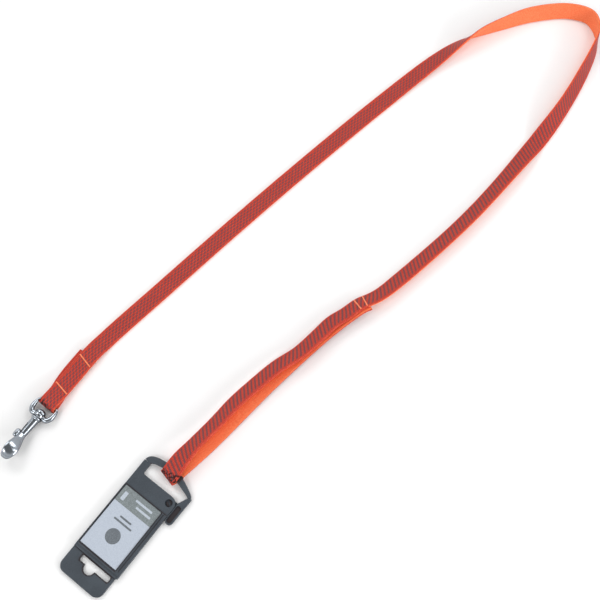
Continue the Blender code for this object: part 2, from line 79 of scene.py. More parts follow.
# x, y, height of the underside, lean in degrees. A positive lean lifts the right edge.
ROUTE = [
    (-193.2, -73.9, 0.0, 0.0),
    (-207.7, -94.0, 0.0, 0.0),
    (-216.1, -109.6, 0.0, 0.0),
    (-219.8, -115.8, 0.0, 0.0),
    (-221.0, -117.3, 0.8, 0.0),
    (-221.5, -117.9, 2.7, 0.0),
    (-221.0, -117.3, 4.6, 0.0),
    (-219.8, -115.8, 5.4, 0.0),
    (-213.7, -107.5, 4.2, 0.0),
    (-205.1, -95.1, 2.1, 0.0),
    (-189.1, -73.7, 2.1, 0.0),
    (-178.5, -61.3, 0.0, 0.0),
    (-137.0, -19.8, 0.0, 0.0),
    (-76.1, 40.5, 0.0, 0.0),
    (-10.8, 103.1, 0.0, 0.0),
    (59.0, 167.3, 0.0, 1.0),
    (103.0, 205.1, 0.0, 16.0),
    (127.7, 223.3, 0.0, 48.0),
    (145.5, 233.3, 0.0, 80.0),
    (165.5, 242.1, 0.0, 100.0),
    (196.5, 253.7, 0.0, 121.0),
    (230.5, 256.9, 0.0, 118.0),
    (248.7, 249.9, 0.0, 109.0),
    (253.8, 234.1, 0.0, 90.0),
    (250.2, 218.9, 0.0, 71.0),
    (235.1, 188.4, 0.0, 52.0),
    (211.0, 149.9, 0.0, 37.0),
    (171.6, 100.5, 0.0, -22.0),
    (123.2, 46.2, 0.0, -31.0),
    (64.9, -7.8, 0.0, -28.0),
    (44.0, -24.6, 0.2, -32.0),
    (28.0, -32.6, 1.0, -32.0),
    (17.4, -40.7, 1.7, -30.0),
    (5.8, -48.3, 2.1, -29.0),
    (-5.5, -59.4, 2.1, -30.0),
    (-21.1, -73.9, 2.1, -31.0),
    (-39.1, -86.0, 2.1, -32.0),
    (-56.0, -100.4, 2.1, -33.0),
    (-72.2, -115.5, 2.1, -34.0),
    (-87.4, -132.5, 2.3, -36.0),
    (-103.7, -149.9, 3.6, -34.0),
    (-113.6, -162.0, 6.2, -13.0),
    (-119.8, -171.3, 7.2, 0.0),
    (-122.8, -173.8, 3.6, 0.0),
    (-119.8, -171.3, 0.0, 0.0),
    (-95.5, -149.0, 0.0, 0.0),
    (-39.5, -91.8, 0.0, -8.0),
    (3.4, -53.7, 0.0, -24.0),
    (29.7, -34.8, 0.0, -31.0),
    (36.0, -31.9, 0.0, -31.0),
]

# each row's place along the strap, and how far it leans for each millimetre across
STITCH_ROWS = {
    "snap_stitch_row_1": (73.0, 0.24),
    "snap_stitch_row_2": (102.0, 0.24),
    "loop_stitch_row_1": (1042.0, 0.12),
    "loop_stitch_row_2": (1049.0, 0.12),
}
STITCHES_PER_ROW = 7
STITCH_LENGTH = 13.6
THREAD_RADII = (0.55, 0.34)  # along the strap and out of it

# ---------------------------------------------------------------- snap
BAR_CENTRE = (-219.8, -115.8, 3.6)
SWIVEL_HEADING = 234.5
SWIVEL_PITCH = 4.5
HOOK_ROLL = 66.0            # the hook's turn about the swivel's axis
KNOB_ROLL = -35.0           # the knob's turn about the same axis
GAP = 0.3                   # between pieces that move on each other

EYE_BAR_RADIUS = 1.3        # the ring's bar at the strap
EYE_BASE_RADIUS = 2.1       # the ring's bar beside the boss
EYE_INNER_WIDTH = 16.0
EYE_BASE_START = 9.8        # starts and ends are measured from the ring's bar, along the axis
EYE_BASE_LENGTH = 3.3

RIVET_HEAD_RADIUS = 4.2
COLLAR_START = 13.5
BARREL_START = 15.4
BARREL_END = 36.2
BORE_RADIUS = 2.1
SLOT = (20.8, 33.2, 2.3)    # start, end, width
BOLT_RADIUS = 1.8
BOLT_START = 30.6
BOLT_END = 44.9
KNOB_CENTRE = 32.0

# along the swivel axis, across it, thickness and breadth of the hook's bar
HOOK_KEYS = [
    (30.0, 1.2, 3.4, 5.4),
    (34.0, 2.6, 3.4, 6.8),
    (37.6, 4.7, 3.2, 9.0),
    (41.6, 6.7, 3.0, 10.8),
    (45.4, 7.3, 3.0, 11.0),
    (48.8, 6.5, 3.2, 9.6),
    (50.8, 4.2, 3.6, 7.6),
    (50.8, 1.6, 4.2, 6.2),
    (49.0, 0.4, 4.4, 5.6),
    (47.2, 0.0, 4.2, 5.2),
    (45.5, 0.0, 3.4, 4.4),
]

# ---------------------------------------------------------------- card
CARD_ORIGIN = (-186.5, -220.8)
CARD_HEADING = 52.6


# ================================================================ small helpers
def srgb(red, green, blue):
    """A linear colour from 0 to 255 display values."""
    def linear(value):
        value /= 255.0
        return value / 12.92 if value <= 0.04045 else ((value + 0.055) / 1.055) ** 2.4
    return (linear(red), linear(green), linear(blue), 1.0)


def heading(degrees):
    angle = math.radians(degrees)
    return Vector((math.cos(angle), math.sin(angle), 0.0))


def frame_at(origin, x_axis, y_axis):
    """A matrix in metres that puts x along x_axis and y as near y_axis as it can."""
    x_axis = x_axis.normalized()
    z_axis = x_axis.cross(y_axis).normalized()
    y_axis = z_axis.cross(x_axis)
    rotation = Matrix((x_axis, y_axis, z_axis)).transposed().to_4x4()
    return Matrix.Translation(Vector(origin) * MM) @ rotation


def arc(centre, radius, start, end, steps):
    points = []
    for i in range(steps + 1):
        angle = math.radians(start + (end - start) * i / steps)
        points.append((centre[0] + radius * math.cos(angle), centre[1] + radius * math.sin(angle)))
    return points


def blend_knots(p, knots, at):
    """The Barry-Goldman pyramid for one stretch of a Catmull-Rom curve."""
    spans = (
        ((0, 1), (1, 2), (2, 3)),
        ((0, 2), (1, 3)),
        ((1, 2),),
    )
    level = [tuple(v) for v in p]
    for row in spans:
        following = []
        for i, (low, high) in enumerate(row):
            share = (at - knots[low]) / (knots[high] - knots[low])
            following.append(tuple(a + (b - a) * share for a, b in zip(level[i], level[i + 1])))
        level = following
    return level[0]


def catmull_rom(points, step):
    """Points a given distance apart on a smooth curve through points of any dimension."""
    first = tuple(2.0 * a - b for a, b in zip(points[0], points[1]))
    last = tuple(2.0 * a - b for a, b in zip(points[-1], points[-2]))
    padded = [first, *points, last]
    curve = []
    for i in range(1, len(padded) - 2):
        p = padded[i - 1:i + 3]
        knots = [0.0]
        for a, b in zip(p, p[1:]):
            knots.append(knots[-1] + math.sqrt(max(math.dist(a[:3], b[:3]), 1e-6)))
        parts = max(1, math.ceil(math.dist(p[1][:3], p[2][:3]) / step))
        for k in range(parts):
            curve.append(blend_knots(p, knots, knots[1] + (knots[2] - knots[1]) * k / parts))
    curve.append(tuple(points[-1]))
    return curve


def bridge(bm, rings, closed=False, caps=True):
    """Joins rings of vertices with quads."""
    count = len(rings[0])
    pairs = list(zip(rings, rings[1:]))
    if closed:
        pairs.append((rings[-1], rings[0]))
    for first, second in pairs:
        for i in range(count):
            j = (i + 1) % count
            bm.faces.new((first[i], first[j], second[j], second[i]))
    if caps and not closed:
        bm.faces.new(rings[0])
        bm.faces.new(list(reversed(rings[-1])))


def add_object(name, bm, material, place=None, sharp=35.0):
    """A piece made from a bmesh in millimetres, put in place by a matrix in metres."""
    bmesh.ops.recalc_face_normals(bm, faces=bm.faces)
    bmesh.ops.scale(bm, vec=(MM, MM, MM), verts=bm.verts)
    if place is not None:
        bm.transform(place)
    mesh = bpy.data.meshes.new(name)
    bm.to_mesh(mesh)
    bm.free()
    mesh.shade_smooth()
    mesh.set_sharp_from_angle(angle=math.radians(sharp))
    obj = bpy.data.objects.new(name, mesh)
    bpy.context.scene.collection.objects.link(obj)
    mesh.materials.append(material)
    return obj


def apply_modifiers(obj):
    depsgraph = bpy.context.evaluated_depsgraph_get()
    mesh = bpy.data.meshes.new_from_object(obj.evaluated_get(depsgraph))
    obj.modifiers.clear()
    obj.data = mesh


def combine(target, tool, operation):
    """Joins or cuts one object with another, which is then removed."""
    step = target.modifiers.new(operation, "BOOLEAN")
    step.operation = operation
    step.object = tool
    step.solver = "EXACT"
    apply_modifiers(target)
    bpy.data.objects.remove(tool, do_unlink=True)


def bevel(obj, width, segments=2, angle=40.0):
    step = obj.modifiers.new("edges", "BEVEL")
    step.width = width * MM
    step.segments = segments
    step.limit_method = "ANGLE"
    step.angle_limit = math.radians(angle)
    step.harden_normals = True
    apply_modifiers(obj)


def place_piece(obj, body, slot, *nodes):
    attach(obj, body)
    if nodes:
        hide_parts(*nodes)
    return obj


# ================================================================ materials
class Graph:
    """A material's nodes, built from short expressions."""

    def __init__(self, name):
        self.material = bpy.data.materials.new(name)
        self.material.use_nodes = True
        self.tree = self.material.node_tree
        self.shader = self.tree.nodes["Principled BSDF"]

    def node(self, kind, **settings):
        made = self.tree.nodes.new(kind)
        for key, value in settings.items():
            setattr(made, key, value)
        return made

    def connect(self, value, socket):
        if isinstance(value, bpy.types.NodeSocket):
            self.tree.links.new(value, socket)
        else:
            socket.default_value = value

    def math(self, operation, *values):
        made = self.node("ShaderNodeMath", operation=operation)
        for value, socket in zip(values, made.inputs):
            self.connect(value, socket)
        return made.outputs[0]

    def wave(self, value, period, phase=0.0):
        """A sine of the value, from 0 to 1."""
        turns = self.math("MULTIPLY_ADD", value, 2.0 * math.pi / period, phase)
        return self.math("MULTIPLY_ADD", self.math("SINE", turns), 0.5, 0.5)

    def ramp(self, value, low, high, out_low=0.0, out_high=1.0):
        """A smooth step from out_low, at low, to out_high, at high."""
        made = self.node("ShaderNodeMapRange", interpolation_type="SMOOTHSTEP")
        limits = {"From Min": low, "From Max": high, "To Min": out_low, "To Max": out_high}
        for key, number in limits.items():
            made.inputs[key].default_value = number
        self.connect(value, made.inputs["Value"])
        return made.outputs["Result"]

    def mix(self, share, first, second):
        made = self.node("ShaderNodeMix", data_type="RGBA")
        self.connect(share, made.inputs["Factor"])
        self.connect(first, made.inputs[6])
        self.connect(second, made.inputs[7])
        return made.outputs[2]

    def noise(self, vector, scale, detail=2.0, roughness=0.5):
        made = self.node("ShaderNodeTexNoise")
        made.inputs["Scale"].default_value = scale
        made.inputs["Detail"].default_value = detail
        made.inputs["Roughness"].default_value = roughness
        self.connect(vector, made.inputs["Vector"])
        return made.outputs["Fac"]

    def position(self):
        return self.node("ShaderNodeTexCoord").outputs["Object"]

    def upward(self):
        """How far the surface faces up in the part's own frame."""
        normal = self.node("ShaderNodeTexCoord").outputs["Normal"]
        split = self.node("ShaderNodeSeparateXYZ")
        self.connect(normal, split.inputs["Vector"])
        return split.outputs["Z"]

    def uv(self):
        """The two UV values; the webbing stores millimetres there."""
        made = self.node("ShaderNodeSeparateXYZ")
        self.connect(self.node("ShaderNodeTexCoord").outputs["UV"], made.inputs[0])
        return made.outputs[0], made.outputs[1]

    def bump(self, height, distance, strength=1.0):
        made = self.node("ShaderNodeBump")
        made.inputs["Distance"].default_value = distance * MM
        made.inputs["Strength"].default_value = strength
        self.connect(height, made.inputs["Height"])
        self.connect(made.outputs[0], self.shader.inputs["Normal"])

    def finish(self, **inputs):
        for key, value in inputs.items():
            self.connect(value, self.shader.inputs[key.replace("_", " ").title().replace("Ior", "IOR")])
        return self.material


def webbing_front_material():
    """Red twill with slanted rows of short dark grip floats between plain selvedges, and painted shade
    at the folds.
    """
    g = Graph("webbing_front")
    along, across = g.uv()
    slant = 1.0 / math.tan(math.radians(BAR_ANGLE))
    bar = g.wave(g.math("MULTIPLY_ADD", across, -slant, along), BAR_PITCH)
    dash = g.wave(g.math("MULTIPLY_ADD", along, 0.18, across), DASH_PITCH)
    place = g.position()
    patches = g.noise(place, 90.0, 3.0)
    fuzz = g.noise(place, 1300.0, 2.0, 0.7)
    specks = g.noise(place, 620.0, 1.0)
    broken = g.ramp(along, *TWIST, 0.46, 0.22)
    solid = g.math("SUBTRACT", 0.93, broken)
    float_height = g.math("MULTIPLY_ADD", bar, solid, g.math("MULTIPLY", dash, broken))
    float_height = g.math("MULTIPLY_ADD", g.math("SUBTRACT", fuzz, 0.5), 0.35, float_height)
    upper_end = g.ramp(across, -STRAP_WIDTH / 2 + SELVEDGE - 0.3, -STRAP_WIDTH / 2 + SELVEDGE + 0.3)
    lower = STRAP_WIDTH / 2 - LOWER_SELVEDGE
    lower_end = g.ramp(across, lower - 0.3, lower + 0.3, 1.0, 0.0)
    inside = g.math("MULTIPLY", upper_end, lower_end)
    dark = g.math("MULTIPLY", g.ramp(float_height, 0.44, 0.56), inside)
    ribs = g.wave(g.math("MULTIPLY_ADD", across, 0.35, along), RIB_PITCH)
    weave = g.math("MULTIPLY", ribs, g.wave(across, 1.3))
    tone = g.math("MULTIPLY_ADD", fuzz, 0.8, g.math("MULTIPLY", weave, 0.35))
    ground = g.mix(g.ramp(tone, 0.3, 0.8), srgb(178, 50, 40), srgb(218, 82, 60))
    edge = g.ramp(g.math("ABSOLUTE", across), STRAP_WIDTH / 2 - SELVEDGE, STRAP_WIDTH / 2 - 0.3)
    selvedge = g.mix(g.ramp(fuzz, 0.4, 0.65), srgb(184, 52, 42), srgb(226, 92, 64))
    ground = g.mix(edge, ground, selvedge)
    ground = g.mix(g.ramp(patches, 0.35, 0.7, 0.0, 0.15), ground, srgb(158, 44, 36))
    thread = g.mix(fuzz, srgb(96, 46, 48), srgb(136, 72, 74))
    colour = g.mix(dark, ground, thread)
    # Painted shade: dark specks near each fold, where the webbing turns back on itself.
    for fold in FOLDS:
        away = g.math("ABSOLUTE", g.math("SUBTRACT", along, fold))
        fold_shade = g.math("MULTIPLY", g.ramp(away, 2.0, 3.6, 1.0, 0.0), g.ramp(specks, 0.46, 0.52))
        colour = g.mix(g.math("MULTIPLY", fold_shade, 0.92), colour, srgb(30, 12, 16))
    height = g.math("MULTIPLY_ADD", weave, 0.5, g.math("MULTIPLY", dark, 0.5))
    g.bump(g.math("MULTIPLY_ADD", fuzz, 0.35, height), 0.16)
    return g.finish(base_color=colour, roughness=g.ramp(dark, 0.0, 1.0, 0.78, 0.5),
                    specular_ior_level=0.25, sheen_weight=0.06)


def webbing_back_material():
    """The plain, brighter back of the webbing."""
    g = Graph("webbing_back")
    along, across = g.uv()
    ribs = g.wave(along, 0.95)
    cords = g.wave(across, 0.8, 1.0)
    weave = g.math("MULTIPLY_ADD", ribs, 0.6, g.math("MULTIPLY", cords, 0.4))
    place = g.position()
    fuzz = g.noise(place, 1100.0, 2.0, 0.7)
    patches = g.noise(place, 60.0, 3.0)
    tone = g.math("MULTIPLY_ADD", weave, 0.35, g.math("MULTIPLY", fuzz, 0.75))
    colour = g.mix(g.ramp(tone, 0.3, 0.8), srgb(238, 98, 60), srgb(255, 152, 100))
    colour = g.mix(g.ramp(patches, 0.35, 0.75, 0.0, 0.2), colour, srgb(240, 104, 64))
    g.bump(g.math("MULTIPLY_ADD", fuzz, 0.4, weave), 0.12)
    return g.finish(base_color=colour, roughness=0.75, specular_ior_level=0.2, sheen_weight=0.06)


def thread_material():
    g = Graph("stitch_thread")
    place = g.position()
    twist = g.noise(place, 2600.0, 1.0)
    colour = g.mix(twist, srgb(244, 112, 66), srgb(255, 158, 108))
    g.bump(twist, 0.1)
    return g.finish(base_color=colour, roughness=0.5, sheen_weight=0.2)


def chrome_material(name, roughness, shade):
    """Polished plating over a casting: slightly uneven, with faint wear, and painted shade on faces
    turned away from up.
    """
    g = Graph(name)
    place = g.position()
    swell = g.noise(place, 260.0, 2.0)
    wear = g.noise(place, 1500.0, 4.0, 0.7)
    colour = g.mix(g.ramp(wear, 0.45, 0.75, 0.0, 0.35), shade, srgb(140, 146, 153))
    # Painted shade: the plating darkens as its faces turn away from straight up.
    colour = g.mix(g.ramp(g.upward(), 0.1, 0.85, 0.85, 0.0), colour, srgb(46, 50, 56))
    g.bump(swell, 0.02, 0.5)
    return g.finish(base_color=colour, metallic=1.0,
                    roughness=g.ramp(wear, 0.3, 0.8, roughness, roughness + 0.12))


def plastic_material(name, low, high, roughness):
    """Moulded plastic with a fine spark-eroded grain."""
    g = Graph(name)
    place = g.position()
    grain = g.noise(place, 2200.0, 3.0, 0.6)
    cloud = g.noise(place, 45.0, 2.0)
    share = g.math("MULTIPLY_ADD", grain, 0.65, g.math("MULTIPLY", cloud, 0.35))
    colour = g.mix(g.ramp(share, 0.3, 0.7), low, high)
    g.bump(grain, 0.04)
    dullness = g.ramp(grain, 0.3, 0.7, roughness - 0.06, roughness + 0.1)
    return g.finish(base_color=colour, roughness=dullness, specular_ior_level=0.4)


def print_material(name, low, high, roughness=0.35):
    """Ink on coated card, with a faint paper grain."""
    g = Graph(name)
    place = g.position()
    grain = g.noise(place, 1500.0, 3.0, 0.7)
    g.bump(grain, 0.01)
    return g.finish(base_color=g.mix(g.ramp(grain, 0.35, 0.65), low, high), roughness=roughness,
                    specular_ior_level=0.4)


def floor_material():
    g = Graph("floor")
    place = g.position()
    grain = g.noise(place, 40.0, 2.0)
    colour = g.mix(grain, (0.93, 0.93, 0.93, 1.0), (0.95, 0.95, 0.95, 1.0))
    return g.finish(base_color=colour, roughness=0.9)


FRONT = webbing_front_material()
BACK = webbing_back_material()
THREAD = thread_material()
CHROME = chrome_material("chrome", 0.12, srgb(176, 183, 191))
STEEL = chrome_material("bolt_steel", 0.16, srgb(160, 165, 171))
PLASTIC = plastic_material("card_plastic", srgb(52, 58, 65), srgb(74, 82, 90), 0.5)
# Painted shade: near-black plastic for the shade in the card's hollows, joints and window and under the
# strap.
SHADE_PLASTIC = plastic_material("card_painted_shade", srgb(40, 33, 36), srgb(54, 48, 52), 0.6)
PAPER = print_material("label_paper", srgb(178, 187, 200), srgb(192, 200, 212))
BAND = print_material("label_band", srgb(112, 120, 122), srgb(142, 150, 152))
INK = print_material("label_ink", srgb(96, 102, 108), srgb(120, 127, 133))
PALE_INK = print_material("label_pale_ink", srgb(176, 186, 196), srgb(196, 204, 214))


# ================================================================ webbing
def strap_stations(step):
    """(centre, across, tangent, distance) along the strap, in mm."""
    samples = catmull_rom(ROUTE, step)
    centres = []
    for x, y, under, lean in samples:
        angle = math.radians(lean)
        rise = STRAP_WIDTH * abs(math.sin(angle)) + STRAP_THICKNESS * abs(math.cos(angle))
        centres.append(Vector((x, y, max(under, 0.0) + rise / 2.0)))
    stations = []
    flat = None
    distance = 0.0
    for i, sample in enumerate(samples):
        before = centres[max(i - 1, 0)]
        after = centres[min(i + 1, len(centres) - 1)]
        tangent = (after - before).normalized()
        level = UP.cross(tangent)
        if flat is None:
            flat = -level.normalized()
        elif level.length > 0.75:
            level.normalize()
            flat = level if level.dot(flat) > 0.0 else -level
        lean = math.radians(sample[3])
        across = flat * math.cos(lean) - UP * math.sin(lean)
        across = (across - tangent * across.dot(tangent)).normalized()
        if i:
            distance += (centres[i] - centres[i - 1]).length
        stations.append((centres[i], across, tangent, distance))
    return stations


def strap_profile():
    """(across, up) points round the webbing's section, whose two edges are rounded."""
    half = STRAP_WIDTH / 2.0
    thick = STRAP_THICKNESS / 2.0
    shoulder = (half - 0.12, thick * 0.75)
    columns = [half * f for f in (0.95, 0.8, 0.5, 0.2, -0.2, -0.5, -0.8, -0.95)]
    points = [(c, thick) for c in columns]
    points += [(-shoulder[0], shoulder[1]), (-half, 0.25), (-half, -0.25), (-shoulder[0], -shoulder[1])]
    points += [(c, -thick) for c in reversed(columns)]
    points += [(shoulder[0], -shoulder[1]), (half, -0.25), (half, 0.25), shoulder]
    return points


def front_starts_at(along):
    """How high up its edge the webbing turns from the back's orange to the front's red."""
    if along < FOLDS[0] - 3.0:
        return -2.0  # the turned-back end is red all round
    if along < STITCH_ROWS["loop_stitch_row_1"][0]:
        return 0.3   # the single layer keeps an orange edge
    return -0.5      # the hand loop has a red one


def make_webbing(stations):
    """The strap as one band; UV holds millimetres along and across it."""
    profile = strap_profile()
    bm = bmesh.new()
    layer = bm.loops.layers.uv.new("UVMap")
    rings = []
    for centre, across, tangent, distance in stations:
        face = tangent.cross(across)
        flutter = noise.noise(Vector((distance * 0.03, 0.0, 7.0))) * 0.12
        ring = []
        for side, height in profile:
            swell = 1.0 + flutter * (1.0 if abs(side) > 6.5 else 0.3)
            ring.append(bm.verts.new(centre + across * side + face * height * swell))
        rings.append(ring)
    bridge(bm, rings)
    lookup = {}
    for ring, (_, _, _, distance) in zip(rings, stations):
        for vertex, (side, height) in zip(ring, profile):
            lookup[vertex] = (distance, side, height)
    for face in bm.faces:
        along = sum(lookup[v][0] for v in face.verts) / len(face.verts)
        middle = sum(lookup[v][2] for v in face.verts) / len(face.verts)
        face.material_index = 0 if middle > front_starts_at(along) else 1
        for loop in face.loops:
            distance, side, _ = lookup[loop.vert]
            share = max(0.0, min(1.0, (distance - TWIST[0]) / (TWIST[1] - TWIST[0])))
            loop[layer].uv = (distance + side * (ASKEW[0] + (ASKEW[1] - ASKEW[0]) * share), side)
    obj = add_object("leash_webbing", bm, FRONT, sharp=60.0)
    obj.data.materials.append(BACK)
    return place_piece(obj, "strap", "webbing", "webbing")


def station_at(stations, distance):
    """The first station at or past a distance along the strap."""
    for station in stations:
        if station[3] >= distance:
            return station
    return stations[-1]


def make_stitch_row(name, station, slant):
    """A row of separate thread floats, each sunk at both ends into the webbing."""
    centre, across, tangent, _ = station
    face = tangent.cross(across)
    bm = bmesh.new()
    pitch = STITCH_LENGTH / STITCHES_PER_ROW
    for i in range(STITCHES_PER_ROW):
        middle = centre + (across + tangent * slant) * (pitch * (i + 0.5) - STITCH_LENGTH / 2.0)
        rings = []
        for k in range(9):
            share = k / 8.0 - 0.5
            rise = STRAP_THICKNESS / 2.0 - 0.1 + 0.42 * math.cos(math.pi * share)
            spot = middle + across * (share * pitch * 1.04) + face * rise
            spot += tangent * (0.12 * math.sin(2.0 * math.pi * share))
            ring = []
            for turn in range(8):
                angle = 2.0 * math.pi * turn / 8
                ring.append(bm.verts.new(spot + tangent * (THREAD_RADII[0] * math.cos(angle))
                                         + face * (THREAD_RADII[1] * math.sin(angle))))
            rings.append(ring)
        bridge(bm, rings)
    obj = add_object(f"{name}_threads", bm, THREAD)
    return place_piece(obj, "strap", "thread", name)


# ================================================================ snap
def swivel_frame():
    """X along the swivel's axis from the ring's bar, Y to its left."""
    pitch = math.radians(SWIVEL_PITCH)
    axis = heading(SWIVEL_HEADING) * math.cos(pitch) + UP * math.sin(pitch)
    return frame_at(BAR_CENTRE, axis, heading(SWIVEL_HEADING + 90.0))


def hook_frame():
    """The swivel's frame turned so that Y points to the hook's back."""
    return swivel_frame() @ Matrix.Rotation(math.radians(HOOK_ROLL), 4, "X")


def knob_frame():
    """The swivel's frame turned so that the thumb knob stands out along -Y."""
    return swivel_frame() @ Matrix.Rotation(math.radians(KNOB_ROLL), 4, "X")


def turned(profile, sides=64):
    """A solid of revolution about X from (x, radius) points."""
    bm = bmesh.new()
    rings = []
    for x, radius in profile:
        turn = [2.0 * math.pi * i / sides for i in range(sides)]
        rings.append([bm.verts.new((x, radius * math.cos(a), radius * math.sin(a))) for a in turn])
    bridge(bm, rings)
    return bm


def rounded_turned(keys, radius, sides=64):
    """A turned solid whose profile's corners are rounded by a radius."""
    points = []
    for i, (x, r) in enumerate(keys):
        if i in (0, len(keys) - 1):
            points.append((x, r))
            continue
        here = Vector((x, r))
        before = Vector(keys[i - 1]) - here
        after = Vector(keys[i + 1]) - here
        reach = min(radius, before.length * 0.45, after.length * 0.45)
        start = here + before.normalized() * reach
        end = here + after.normalized() * reach
        for k in range(5):
            t = k / 4.0
            spot = start * (1 - t) ** 2 + here * (2 * t * (1 - t)) + end * t ** 2
            points.append((spot.x, spot.y))
    return turned(points, sides)


def make_eye():
    """The D-ring: round bar at the strap, swelling towards the bored boss."""
    half = EYE_INNER_WIDTH / 2.0 + EYE_BAR_RADIUS
    base = EYE_BASE_START + EYE_BASE_LENGTH / 2.0
    corner = half - 2.4
    keys = [(0.0, corner), (0.5, half - 0.7), (2.2, half), (5.0, half + 0.2), (8.6, half - 0.1),
            (11.4, half - 1.8), (11.9, half - 3.4), (base, 4.2), (base, 1.5)]
    keys += [(x, -y) for x, y in reversed(keys)]
    path = catmull_rom([(x, y, 0.0) for x, y in keys], 0.6)
    path += catmull_rom([(0.0, -corner, 0.0), (0.0, corner, 0.0)], 1.0)[1:-1]
    bm = bmesh.new()
    rings = []
    sides = 20
    for i, (x, y, _) in enumerate(path):
        ahead = path[(i + 1) % len(path)]
        behind = path[i - 1]
        along = Vector((ahead[0] - behind[0], ahead[1] - behind[1], 0.0))
        normal = UP.cross(along).normalized()
        swell = max(0.0, min(1.0, (x - 1.0) / 7.5))
        radius = EYE_BAR_RADIUS + (EYE_BASE_RADIUS - EYE_BAR_RADIUS) * swell * swell * (3 - 2 * swell)
        ring = []
        for k in range(sides):
            angle = 2.0 * math.pi * k / sides
            offset = (normal * math.cos(angle) + UP * math.sin(angle)) * radius
            ring.append(bm.verts.new(Vector((x, y, 0.0)) + offset))
        rings.append(ring)
    bridge(bm, rings, closed=True)
    eye_ring = add_object("eye_ring", bm, CHROME, swivel_frame())
    place_piece(eye_ring, "eye", "snap_metal", "swivel_eye")
    start, end = EYE_BASE_START, EYE_BASE_START + EYE_BASE_LENGTH
    boss = rounded_turned([(start, 2.0), (start, 4.0), (start + 0.9, 4.4), (end - 0.9, 4.4),
                           (end, 4.2), (end, 2.0)], 0.5)
    boss_piece = add_object("eye_boss", boss, CHROME, swivel_frame())
    place_piece(boss_piece, "eye", "snap_metal")


def make_rivet():
    """The domed head inside the ring, peened flat and dimpled at its middle."""
    head_end = EYE_BASE_START - GAP / 2
    profile = [(head_end - 3.15, 0.25), (head_end - 3.2, 0.9)]
    for i in range(1, 10):
        angle = math.pi / 2.0 * i / 9
        dome = RIVET_HEAD_RADIUS * math.sin(angle) ** 0.8
        profile.append((head_end - 0.7 - 2.7 * math.cos(angle), dome))
    profile += [(head_end - 0.2, RIVET_HEAD_RADIUS), (head_end, RIVET_HEAD_RADIUS - 0.3)]
    profile += [(head_end, 1.7), (COLLAR_START + 2.4, 1.7)]
    obj = add_object("rivet_head", turned(profile), CHROME, swivel_frame(), sharp=50.0)
    return place_piece(obj, "snap", "snap_metal", "swivel_rivet")


def hook_section(share):
    """The hook's (along, across, thickness, breadth) from the neck, 0, to the nose, 1."""
    place = share * (len(HOOK_KEYS) - 1)
    index = min(int(place), len(HOOK_KEYS) - 2)
    first = HOOK_KEYS[max(index - 1, 0)]
    last = HOOK_KEYS[min(index + 2, len(HOOK_KEYS) - 1)]
    near = [first, HOOK_KEYS[index], HOOK_KEYS[index + 1], last]
    return blend_knots(near, [0.0, 1.0, 2.0, 3.0], 1.0 + place - index)


def super_round(angle, power):
    """A point on a squared-off circle."""
    c, s = math.cos(angle), math.sin(angle)
    return (math.copysign(abs(c) ** power, c), math.copysign(abs(s) ** power, s))


def hook_mesh():
    """The hook's bar, swept from the neck to a rounded nose."""
    bm = bmesh.new()
    steps = 90
    sides = 28
    rings = []
    for i in range(steps + 1):
        share = i / steps
        along, across, thickness, breadth = hook_section(share)
        ahead = hook_section(min(share + 0.01, 1.0))
        behind = hook_section(max(share - 0.01, 0.0))
        tangent = Vector((ahead[0] - behind[0], ahead[1] - behind[1], 0.0)).normalized()
        normal = UP.cross(tangent)
        close = max(0.0, (share - 0.96) / 0.04)
        shrink = math.sqrt(max(0.02, 1.0 - close * close))
        ring = []
        for k in range(sides):
            c, s = super_round(2.0 * math.pi * k / sides, 0.8)
            offset = normal * (thickness / 2.0 * c * shrink) + UP * (breadth / 2.0 * s * shrink)
            ring.append(bm.verts.new(Vector((along, across, 0.0)) + offset))
        rings.append(ring)
    bridge(bm, rings)
    return bm


def prism(outline, low, high):
    """A flat outline raised from one height to another."""
    bm = bmesh.new()
    rings = [[bm.verts.new((x, y, z)) for x, y in outline] for z in (low, high)]
    bridge(bm, rings)
    return bm


def make_snap_body():
    """Collar, barrel and hook in one casting, with its bore and the knob's slot."""
    place = hook_frame()
    barrel = rounded_turned([
        (COLLAR_START, 1.0), (COLLAR_START, 3.9), (COLLAR_START + 0.5, 4.5), (COLLAR_START + 1.4, 4.5),
        (BARREL_START, 3.7), (BARREL_START + 1.0, 3.45), (24.0, 3.15), (30.0, 3.0),
        (BARREL_END - 0.6, 3.05), (BARREL_END, 2.6), (BARREL_END, 1.0)], 0.7)
    body = add_object("snap_casting", barrel, CHROME, place)
    combine(body, add_object("hook_tool", hook_mesh(), CHROME, place), "UNION")
    bore = turned([(BARREL_START + 2.2, BORE_RADIUS), (BOLT_END + GAP, BORE_RADIUS)], 40)
    combine(body, add_object("bore_tool", bore, CHROME, place), "DIFFERENCE")
    start, end, width = SLOT
    outline = arc((start + width / 2, 0.0), width / 2, 90.0, 270.0, 8)
    outline += arc((end - width / 2, 0.0), width / 2, -90.0, 90.0, 8)
    slot = bmesh.new()
    rings = [[slot.verts.new((x, height, z)) for x, z in outline] for height in (-8.0, 0.0)]
    bridge(slot, rings)
    combine(body, add_object("slot_tool", slot, CHROME, knob_frame()), "DIFFERENCE")
    body.data.shade_smooth()
    body.data.set_sharp_from_angle(angle=math.radians(40.0))
    return place_piece(body, "snap", "snap_metal", "snap_body")


def make_bolt():
    """The round bolt that closes the hook's mouth."""
    profile = [(BOLT_START, 0.9), (BOLT_START, BOLT_RADIUS - 0.3), (BOLT_START + 0.3, BOLT_RADIUS),
               (BOLT_END - 1.0, BOLT_RADIUS), (BOLT_END - 0.2, BOLT_RADIUS - 0.5), (BOLT_END, 0.6)]
    bolt = add_object("bolt_pin", rounded_turned(profile, 0.4, 40), STEEL, hook_frame())
    return place_piece(bolt, "bolt", "bolt_steel", "bolt")


